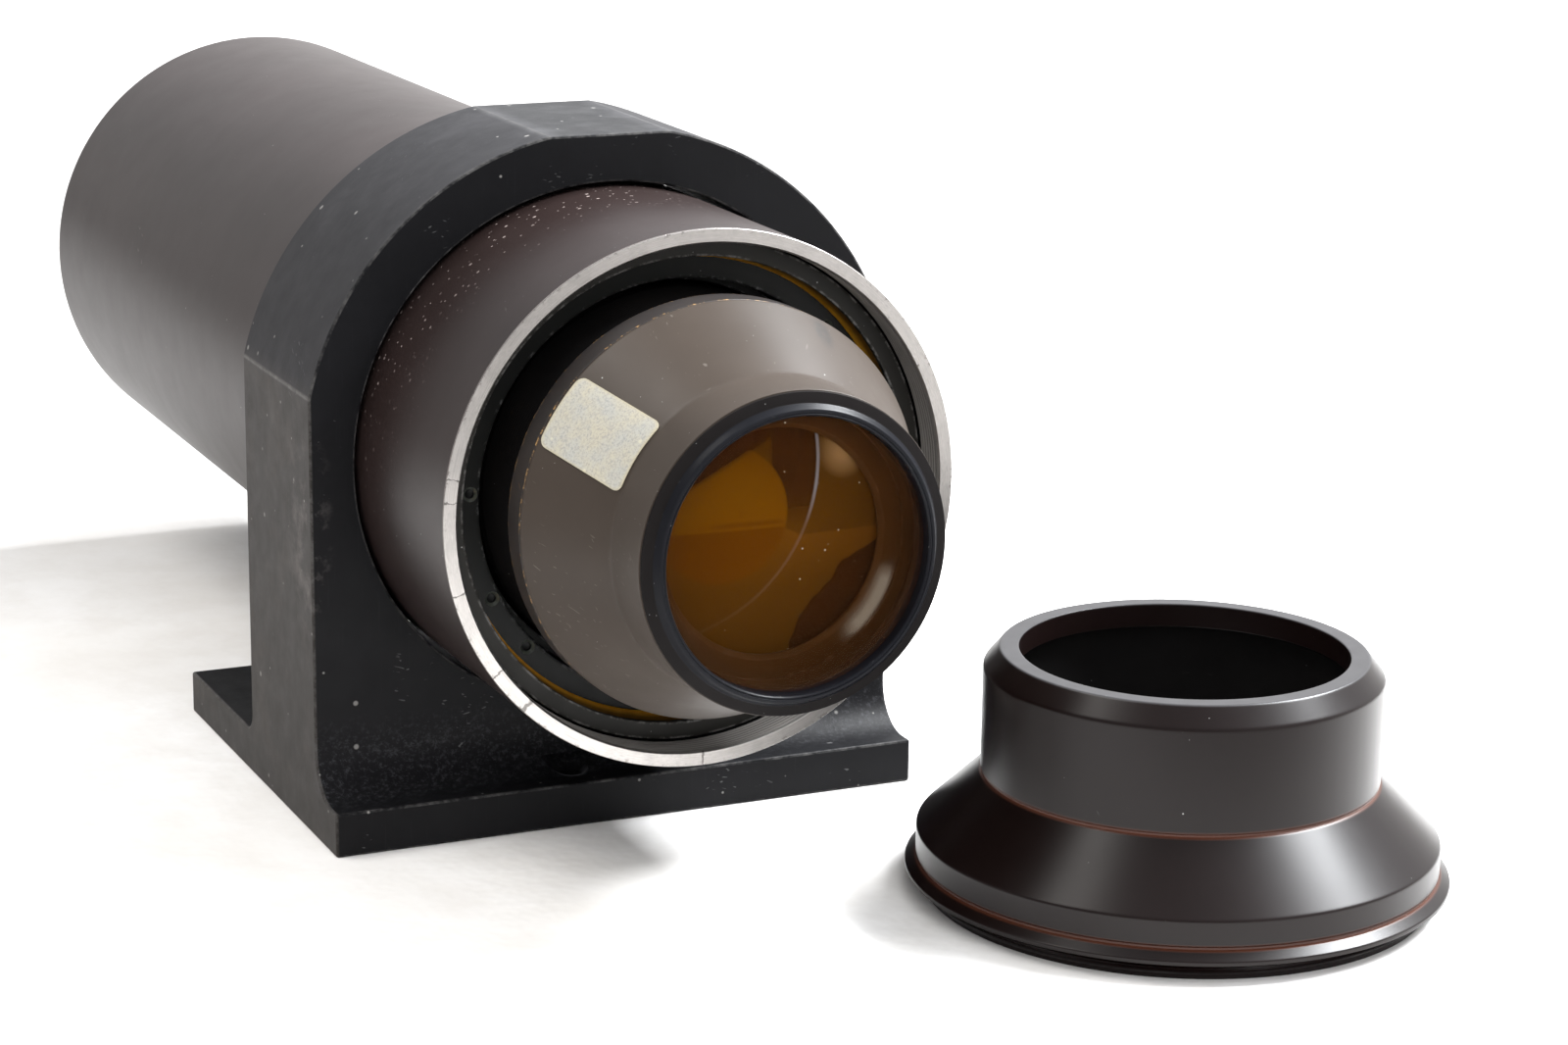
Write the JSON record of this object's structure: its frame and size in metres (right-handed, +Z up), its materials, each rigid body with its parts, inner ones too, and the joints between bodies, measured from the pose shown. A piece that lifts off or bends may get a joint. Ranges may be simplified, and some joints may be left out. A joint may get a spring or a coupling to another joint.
{
  "type": "barlow lens",
  "caption": "Tube-mounted barlow lens with a conical lens cell in a ring bracket, and a loose screw-on adapter ring standing beside it.",
  "frame": {"origin": "middle of the bracket's flat underside, on the surface that it stands on", "axes": "+Z up out of the underside; the optical axis runs along Y at 71.4 mm, with the front lens and cone towards -Y and the long tube towards +Y; +X is to the right seen from the front lens"},
  "size_m": [0.1882, 0.3658, 0.1315],
  "materials": {
    "bracket_finish": "matte charcoal, worn at the edges",
    "tube_anodised": "faded satin black anodising, bare at the front rim and thread",
    "black_ring": "black anodising",
    "smoked_ring": "dark grey anodising with brassy worn edges",
    "cone_anodised": "warm grey satin anodising with fine scratches",
    "adapter_anodised": "satin black anodising, coppery in the inner corners",
    "brass": "turned",
    "steel": "dark",
    "amber_glass": "coated, amber",
    "paper": "aged off-white paper, blank"
  },
  "bodies": {
    "bracket": {"bracket": "bracket_finish"},
    "clamp_pad_1": {"clamp_pad_1": "brass"},
    "clamp_screw_1": {"clamp_screw_1": "steel"},
    "clamp_pad_2": {"clamp_pad_2": "brass"},
    "clamp_screw_2": {"clamp_screw_2": "steel"},
    "tube": {"main_tube": "tube_anodised", "tube_retaining_ring": "black_ring", "brass_thrust_ring": "brass", "rear_guide_ring": "black_ring", "guide_key": "brass", "front_baffle": "black_ring", "middle_baffle": "black_ring", "rear_baffle": "black_ring", "rear_end_ring": "black_ring"},
    "adjusting_nut": {"cell_adjusting_nut": "black_ring"},
    "lens_cell": {"cone_cell": "cone_anodised", "paper_label": "paper", "cell_lock_ring": "smoked_ring", "cell_barrel": "black_ring", "front_retaining_ring": "black_ring", "front_lens": "amber_glass", "lens_spacer_ring": "black_ring", "crown_lens": "amber_glass", "flint_lens": "amber_glass", "rear_lens": "amber_glass", "rear_lens_retainer": "black_ring"},
    "adapter": {"adapter_ring": "adapter_anodised"}
  },
  "joints": [
    {"name": "tube_slide", "type": "slide", "parent": "bracket", "child": "tube", "axis": [0, 1, 0], "range_m": [-0.025, 0.025]},
    {"name": "nut_turn", "type": "hinge", "parent": "tube", "child": "adjusting_nut", "pos_m": [0, -0.062, 0.0714], "axis": [0, 1, 0], "range_deg": [-1080, 1080]},
    {"name": "cell_slide", "type": "slide", "parent": "tube", "child": "lens_cell", "axis": [0, 1, 0], "range_m": [-0.0045, 0.0045]},
    {"name": "pad_1_slide", "type": "slide", "parent": "bracket", "child": "clamp_pad_1", "axis": [0, 0, 1], "range_m": [-0.002, 0]},
    {"name": "screw_1_turn", "type": "hinge", "parent": "clamp_pad_1", "child": "clamp_screw_1", "pos_m": [0, -0.029, 0.012], "axis": [0, 0, 1], "range_deg": [-720, 0]},
    {"name": "pad_2_slide", "type": "slide", "parent": "bracket", "child": "clamp_pad_2", "axis": [0, 0, 1], "range_m": [-0.002, 0]},
    {"name": "screw_2_turn", "type": "hinge", "parent": "clamp_pad_2", "child": "clamp_screw_2", "pos_m": [0, -0.012, 0.012], "axis": [0, 0, 1], "range_deg": [-720, 0]},
    {"name": "adapter_slide", "type": "slide", "parent": "bracket", "child": "adapter", "axis": [1, 0, 0], "range_m": [0, 0.1]}
  ],
  "couplings": [
    {"joint": "cell_slide", "follows": "nut_turn", "m_per_rad": 0.00023873},
    {"joint": "screw_1_turn", "follows": "pad_1_slide", "rad_per_m": 6283.2},
    {"joint": "screw_2_turn", "follows": "pad_2_slide", "rad_per_m": 6283.2}
  ]
}
